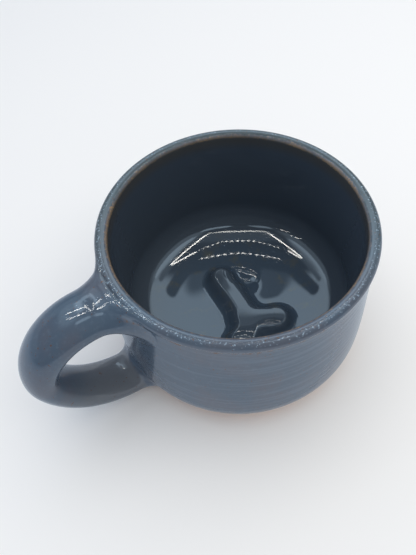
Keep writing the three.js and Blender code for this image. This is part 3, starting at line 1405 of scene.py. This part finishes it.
def hang(mesh: bpy.types.Mesh, height: float, turn: float) -> None:
    """Hangs a glowing mesh over the mug where only reflections see it.

    Args:
        mesh: The mesh, with its glow as its material.
        height: Height over the floor in millimetres.
        turn: The camera's azimuth in radians.
    """
    mesh.materials[0].cycles.emission_sampling = "NONE"
    panel = bpy.data.objects.new(mesh.name, mesh)
    panel.matrix_world = Matrix.Translation((0, 0, height * MM)) @ Matrix.Rotation(turn, 4, "Z")
    for ray in ("camera", "diffuse", "shadow", "transmission", "volume_scatter"):
        setattr(panel, f"visible_{ray}", False)
    bpy.context.scene.collection.objects.link(panel)


@dataclass(frozen=True)
class Strip:
    """A straight strip with round ends on the ceiling, plain or as a row of lamps.

    Places are given as millimetres to the camera's right and away from it, from the mug's axis.
    """

    start: Point
    end: Point
    half_width: float
    soft: float
    glow: float
    lamp_pitch: float = 0.0
    lamp_band: Span = (0.1, 0.7)

    def mask(self, right: Signal, away: Signal) -> Signal:
        """Where the strip is.

        Args:
            right: Place to the camera's right.
            away: Place away from the camera.

        Returns:
            1 on the strip and 0 off it.
        """
        run = (self.end[0] - self.start[0], self.end[1] - self.start[1])
        length = math.hypot(*run)
        beside = right - self.start[0]
        beyond = away - self.start[1]
        along = ((beside * run[0] + beyond * run[1]) * (1 / length**2)).clamp()
        beside = beside - along * run[0]
        beyond = beyond - along * run[1]
        gap = (beside * beside + beyond * beyond).root()
        inside = gap.fall(self.half_width - self.soft / 2, self.half_width + self.soft / 2)
        if self.lamp_pitch:
            inside = inside * (along * (FULL_TURN * length / self.lamp_pitch)).wave().ramp(*self.lamp_band)
        return inside


@dataclass
class CeilingGlow:
    """What a glaze mirrors overhead: a bright ceiling behind the mug, and dark and lit strips before it.

    Edges are places as for a strip. The strips lie over each other in their order.
    """

    height: float = 250.0
    span: float = 1600.0
    tint: Tint = (0.74, 0.96, 1.16)
    bulb_tint: Tint = (1.0, 0.98, 0.92)
    bulb_band: Span = (4.0, 12.0)
    bright: float = 2.3
    beside: float = 0.4
    shade: float = 0.10
    near_edge: Span = (92.0, 122.0)
    far_edge: Span = (330.0, 420.0)
    side_edge: Span = (140.0, 175.0)
    strips: tuple[Strip, ...] = (
        Strip((-45.0, 20.0), (45.0, 20.0), 16.0, 8.0, 0.50),
        Strip((50.0, 24.0), (86.0, 68.0), 11.0, 6.0, 0.45),
        Strip((-50.0, 24.0), (-78.0, 62.0), 11.0, 6.0, 0.45),
        Strip((-30.0, 108.0), (33.0, 114.0), 21.0, 22.0, 0.42),
        Strip((-58.0, 62.0), (60.0, 62.0), 33.0, 9.0, 0.08),
        Strip((-60.0, 85.0), (-104.0, 148.0), 13.0, 6.0, 0.10),
        Strip((62.0, 88.0), (84.0, 136.0), 14.0, 6.0, 0.10),
        Strip((92.0, 72.0), (116.0, 118.0), 6.0, 6.0, 0.60),
        Strip((-90.0, 70.0), (-120.0, 128.0), 6.0, 6.0, 0.60),
        Strip((122.0, -6.0), (178.0, 82.0), 58.0, 30.0, 1.0),
        Strip((-150.0, -8.0), (-216.0, 112.0), 62.0, 60.0, 0.9),
        Strip((86.0, 14.0), (142.0, 104.0), 19.0, 8.0, 3.0),
        Strip((-97.0, 30.0), (-158.0, 138.0), 18.0, 22.0, 2.8),
        Strip((26.0, -45.0), (80.0, -60.0), 14.0, 8.0, 3.0),
        Strip((-36.0, -50.0), (-76.0, -72.0), 14.0, 8.0, 2.2),
        Strip((-43.0, 5.0), (43.0, 5.0), 0.5, 0.4, 28.0),
        Strip((43.0, 6.0), (97.0, 80.0), 0.5, 0.4, 52.0),
        Strip((-43.0, 8.0), (-89.0, 70.0), 0.5, 0.4, 52.0),
        Strip((54.0, 50.0), (94.0, 80.0), 0.5, 0.4, 48.0),
        Strip((-66.0, 52.0), (-86.0, 71.0), 0.5, 0.4, 44.0),
        Strip((-46.0, 70.0), (0.0, 60.0), 0.7, 0.5, 40.0, 7.0),
        Strip((0.0, 60.0), (42.0, 66.0), 0.7, 0.5, 40.0, 7.0),
        Strip((-52.0, 45.0), (-20.0, 29.0), 0.6, 0.5, 30.0, 7.0),
        Strip((-20.0, 29.0), (20.0, 29.0), 0.7, 0.5, 36.0, 7.0),
        Strip((20.0, 29.0), (50.0, 46.0), 0.6, 0.5, 30.0, 7.0),
    )

    def glow(self, right: Signal, away: Signal) -> Signal:
        """Brightness of the ceiling.

        Args:
            right: Place to the camera's right.
            away: Place away from the camera.

        Returns:
            Brightness.
        """
        lit = right.size().fall(*self.side_edge).between(self.beside, self.bright)
        glow = away.band(self.near_edge, self.far_edge).between(self.shade, lit)
        for strip in self.strips:
            glow = strip.mask(right, away).between(glow, strip.glow)
        return glow

    def build(self, turn: float) -> None:
        """Hangs the glow where only reflections see it.

        Args:
            turn: The camera's azimuth in radians.
        """
        s = Shader(bpy.data.materials.new("ceiling_glow"))
        right, away, _ = s.axes(s.place())
        glow = self.glow(right, away)
        bulb = glow.ramp(*self.bulb_band)
        tints = zip(self.tint, self.bulb_tint)
        colour = s.colour(glow * bulb.between(plain, lamp) for plain, lamp in tints)
        mesh = squares("ceiling_glow", [(0.0, 0.0)], self.span)
        mesh.materials.append(s.finish(s.node("ShaderNodeEmission", None, {"Color": colour})))
        hang(mesh, self.height, turn)


@dataclass
class HandleLamps:
    """Two rows of small lamps that the top of the handle mirrors, with places given as for a strip."""

    height: float = 130.0
    rows: tuple[tuple[Point, ...], ...] = (
        ((-98.0, -14.0), (-79.0, -10.0), (-60.0, -6.0)),
        ((-92.0, -31.0), (-71.0, -32.0), (-54.0, -25.0)),
    )
    lamps: int = 14
    lamp_size: float = 1.3
    glow: float = 70.0
    tint: Colour = rgb(1.0, 0.98, 0.92)

    def build(self, turn: float) -> None:
        """Hangs the lamps where only reflections see them.

        Args:
            turn: The camera's azimuth in radians.
        """
        share = np.linspace(0, 1, self.lamps)
        middles = np.concatenate([bezier(np.array(row), share) for row in self.rows])
        mesh = squares("handle_lamps", middles, self.lamp_size)
        s = Shader(bpy.data.materials.new("handle_lamps"))
        glow = s.node("ShaderNodeEmission", None, {"Color": self.tint, "Strength": self.glow})
        mesh.materials.append(s.finish(glow))
        hang(mesh, self.height, turn)


@dataclass
class Studio:
    """A pale floor, soft light and the camera. Millimetres, degrees and, for the lens, pixels."""

    camera_place: tuple[float, float, float] = (-65.98, -101.32, 206.74)
    camera_azimuth: float = -33.07
    camera_pitch: float = 55.28
    camera_roll: float = -1.37
    focal_pixels: float = 500.0
    axis_column: float = 239.0
    floor_size: float = 8000.0
    floor_colour: Colour = rgb(0.885, 0.88, 0.88)
    mirrored_floor: Colour = rgb(0.74, 0.79, 0.86)
    lamp_size: float = 1300.0
    lamp_place: tuple[float, float, float] = (298.0, -194.0, 850.0)
    lamp_power: float = 7.2
    lamp_tint: Tint = (1.0, 0.92, 0.79)
    tent: float = 0.48
    tent_tint: Tint = (0.85, 0.96, 1.11)
    fill: float = 1.2
    fill_way: Point = (0.7, 0.7)
    fill_band: Span = (0.0, 0.8)
    mirrored_tent: float = 0.36
    mirrored_front: float = 0.10
    front_band: Span = (0.10, 0.60)
    backdrop: Colour = rgb(0.86, 0.86, 0.87)

    def camera(self) -> None:
        """Places the camera at the photograph's viewing angle."""
        data = bpy.data.cameras.new("camera")
        data.sensor_width = SENSOR_WIDTH
        data.lens = SENSOR_WIDTH * self.focal_pixels / max(IMAGE_SIZE)
        data.shift_x = (IMAGE_SIZE[0] / 2 - self.axis_column) / max(IMAGE_SIZE)
        data.clip_start = CLIP_START * MM
        angles = (self.camera_azimuth, self.camera_pitch, self.camera_roll)
        azimuth, pitch, roll = (math.radians(angle) for angle in angles)
        level = math.cos(pitch)
        ahead = Vector((-math.sin(azimuth) * level, math.cos(azimuth) * level, -math.sin(pitch)))
        right = Vector((math.cos(azimuth), math.sin(azimuth), 0.0))
        up = right.cross(ahead)
        tilted_right = math.cos(roll) * right + math.sin(roll) * up
        tilted_up = math.cos(roll) * up - math.sin(roll) * right
        camera = bpy.data.objects.new("camera", data)
        turn = Matrix((tilted_right, tilted_up, -ahead)).transposed().to_4x4()
        camera.matrix_world = Matrix.Translation(Vector(self.camera_place) * MM) @ turn
        bpy.context.scene.collection.objects.link(camera)
        bpy.context.scene.camera = camera

    def floor(self) -> None:
        """Makes the pale floor, which a glaze mirrors a little darker and bluer."""
        mesh = squares("floor", [(0.0, 0.0)], self.floor_size)
        s = Shader(bpy.data.materials.new("pale_floor"))
        seen = s.node("ShaderNodeBsdfDiffuse", None, {"Color": self.floor_colour})
        mirrored = s.node("ShaderNodeBsdfDiffuse", None, {"Color": self.mirrored_floor})
        glossy = s.node("ShaderNodeLightPath", output="Is Glossy Ray")
        both = s.node("ShaderNodeMixShader", None, {0: glossy, 1: seen, 2: mirrored})
        mesh.materials.append(s.finish(both))
        floor = bpy.data.objects.new("floor", mesh)
        bpy.context.scene.collection.objects.link(floor)

    def lamp(self) -> None:
        """Hangs a soft lamp overhead."""
        data = bpy.data.lights.new("overhead", "AREA")
        data.shape = "SQUARE"
        data.size = self.lamp_size * MM
        data.energy = self.lamp_power
        data.color = self.lamp_tint
        lamp = bpy.data.objects.new("overhead", data)
        lamp.location = Vector(self.lamp_place) * MM
        lamp.visible_glossy = False
        bpy.context.scene.collection.objects.link(lamp)

    def surroundings(self) -> None:
        """Sets a pale tent, brighter behind on the left and, where it is mirrored, dark in front."""
        s = Shader(bpy.data.worlds.new("tent"))
        x, y, _ = s.split(s.node("ShaderNodeTexCoord", output="Generated"))
        azimuth = math.radians(self.camera_azimuth)
        front = x * math.sin(azimuth) - y * math.cos(azimuth)
        left = x * -math.cos(azimuth) - y * math.sin(azimuth)
        filled = (left * self.fill_way[0] - front * self.fill_way[1]).ramp(*self.fill_band)
        tent = self.tent * (1 + filled * self.fill)
        mirror = front.ramp(*self.front_band).between(self.mirrored_tent, self.mirrored_front)
        wall = s.node("ShaderNodeLightPath", output="Is Glossy Ray").between(tent, mirror)
        colour = s.colour(wall * share for share in self.tent_tint)
        seen = s.node("ShaderNodeLightPath", output="Is Camera Ray")
        colour = s.blend(seen, colour, self.backdrop)
        bpy.context.scene.world = s.finish(s.node("ShaderNodeBackground", None, {"Color": colour}))

    def build(self) -> None:
        """Sets the stage."""
        bpy.context.scene.view_settings.view_transform = "Standard"
        self.camera()
        self.floor()
        self.lamp()
        self.surroundings()
        turn = math.radians(self.camera_azimuth)
        CeilingGlow().build(turn)
        HandleLamps().build(turn)


def main() -> None:
    """Builds the mug's pieces in order and sets the stage."""
    logging.basicConfig(level=logging.INFO)
    cup = ThrownCup()
    slate = SlateGlaze("slate_glaze").build(cup)
    coil_glaze = SlateGlaze("coil_glaze").build(cup)
    cup.build(slate)
    EarHandle(cup).build(slate)
    LatherCoils(cup).build(coil_glaze)
    Studio().build()


if __name__ == "__main__":
    main()
